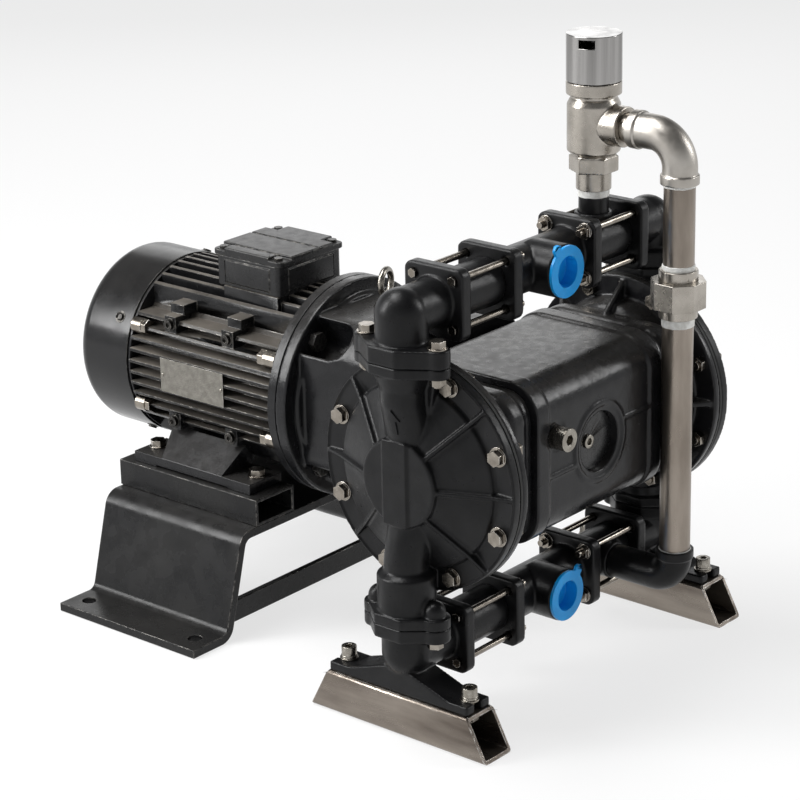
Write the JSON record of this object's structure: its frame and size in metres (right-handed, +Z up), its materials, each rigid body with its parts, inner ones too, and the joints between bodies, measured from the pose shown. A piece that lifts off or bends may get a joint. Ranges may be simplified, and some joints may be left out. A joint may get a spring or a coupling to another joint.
{
  "type": "electric diaphragm pump",
  "caption": "Motor-driven double diaphragm pump with gear reducer, bolted manifolds, relief valve with bypass pipe, feet and a bent motor bracket.",
  "frame": {"origin": "centre of the unit's footprint box, on the floor", "axes": "+Z up, X along the diaphragm axis, +Y from the pump towards the motor"},
  "size_m": [0.388, 0.5796, 0.543],
  "materials": {
    "black_casting": "satin black powder coat",
    "black_paint": "gloss black enamel, dusty on top",
    "black_steel": "scuffed black paint on steel plate",
    "bare_stainless": "heat-tinted stainless tube",
    "bright_bolt": "plain stainless fasteners",
    "cast_nickel": "satin cast stainless",
    "chrome_cap": "polished",
    "pipe_steel": "pickled steel pipe",
    "blue_cap": "bright blue soft plastic",
    "rubber_black": "moulded rubber",
    "inner_steel": "machined steel",
    "core_sheet": "electrical sheet",
    "fan_plastic": "moulded plastic",
    "bush_bronze": "bearing bronze"
  },
  "bodies": {
    "frame": {"foot_tubes": "bare_stainless", "foot_bolting": "bright_bolt", "suction_elbows": "black_casting", "discharge_elbows": "black_casting", "chamber_cover_near": "black_casting", "chamber_cover_far": "black_casting", "inner_chambers": "black_paint", "diaphragms": "rubber_black", "rod_bushes": "bush_bronze", "valve_seats": "inner_steel", "hex_bolts": "bright_bolt", "crank_case": "black_paint", "case_plugs": "chrome_cap", "bearings": "inner_steel", "gear_housing": "black_paint", "flange_bolts": "bright_bolt", "eye_bolt": "bright_bolt", "stator_core": "core_sheet", "motor_housing": "black_paint", "front_shield": "black_paint", "rear_shield": "black_paint", "fan_cover": "black_paint", "terminal_box": "black_paint", "terminal_lid": "black_paint", "motor_screws": "inner_steel", "motor_feet": "black_paint", "motor_foot_bolts": "bright_bolt", "support_tubes": "black_steel", "motor_bracket": "black_steel", "cross_bar": "black_steel", "spools": "black_casting", "tees": "black_casting", "tie_bolts": "bright_bolt", "riser_nipple": "black_casting", "inlet_sleeve": "cast_nickel", "relief_body": "cast_nickel", "relief_spring": "inner_steel", "outlet_nipple": "cast_nickel", "bypass_elbow_top": "cast_nickel", "bypass_elbow_bottom": "black_casting", "bypass_pipes": "pipe_steel", "union_ends": "cast_nickel", "union_nut": "cast_nickel"},
    "crank": {"crank_shaft": "inner_steel", "crank_roller": "inner_steel", "output_gear": "inner_steel"},
    "countershaft": {"counter_gear": "inner_steel"},
    "rotor": {"rotor_shaft": "inner_steel", "rotor_core": "core_sheet", "fan": "fan_plastic"},
    "rod": {"yoke_rod": "inner_steel", "diaphragm_plates": "inner_steel"},
    "ball_sn": {"ball_suction_near": "inner_steel"},
    "ball_sf": {"ball_suction_far": "inner_steel"},
    "ball_dn": {"ball_discharge_near": "inner_steel"},
    "ball_df": {"ball_discharge_far": "inner_steel"},
    "poppet": {"relief_poppet": "inner_steel"},
    "adjuster": {"relief_cap": "chrome_cap"},
    "upper_plug": {"port_cap_upper": "blue_cap"},
    "lower_plug": {"port_cap_lower": "blue_cap"}
  },
  "joints": [
    {"name": "motor_spin", "type": "hinge", "parent": "frame", "child": "rotor", "pos_m": [0, 0.12084, 0.2125], "axis": [0, 1, 0], "continuous": true},
    {"name": "counter_spin", "type": "hinge", "parent": "frame", "child": "countershaft", "pos_m": [0, -0.01416, 0.25], "axis": [0, 1, 0], "continuous": true},
    {"name": "crank_spin", "type": "hinge", "parent": "frame", "child": "crank", "pos_m": [0, -0.17916, 0.22], "axis": [0, 1, 0], "continuous": true},
    {"name": "rod_slide", "type": "slide", "parent": "frame", "child": "rod", "axis": [1, 0, 0], "range_m": [-0.006, 0.006], "deforming": ["diaphragms"]},
    {"name": "relief_lift", "type": "slide", "parent": "frame", "child": "poppet", "axis": [0, 0, 1], "range_m": [0, 0.004], "stiffness_N_per_m": 2000, "deforming": ["relief_spring"]},
    {"name": "relief_cap_turn", "type": "hinge", "parent": "frame", "child": "adjuster", "pos_m": [0.08825, -0.17916, 0.52], "axis": [0, 0, 1], "range_deg": [-180, 180]},
    {"name": "upper_cap_pull", "type": "slide", "parent": "frame", "child": "upper_plug", "axis": [0, -1, 0], "range_m": [0, 0.025]},
    {"name": "lower_cap_pull", "type": "slide", "parent": "frame", "child": "lower_plug", "axis": [0, -1, 0], "range_m": [0, 0.025]},
    {"name": "suction_ball_near_lift", "type": "slide", "parent": "frame", "child": "ball_sn", "axis": [0, 0, 1], "range_m": [0, 0.006]},
    {"name": "suction_ball_far_lift", "type": "slide", "parent": "frame", "child": "ball_sf", "axis": [0, 0, 1], "range_m": [0, 0.006]},
    {"name": "discharge_ball_near_lift", "type": "slide", "parent": "frame", "child": "ball_dn", "axis": [0, 0, 1], "range_m": [0, 0.006]},
    {"name": "discharge_ball_far_lift", "type": "slide", "parent": "frame", "child": "ball_df", "axis": [0, 0, 1], "range_m": [0, 0.006]}
  ],
  "couplings": [
    {"joint": "counter_spin", "follows": "motor_spin", "ratio": -0.35135},
    {"joint": "crank_spin", "follows": "motor_spin", "ratio": 0.16917}
  ]
}
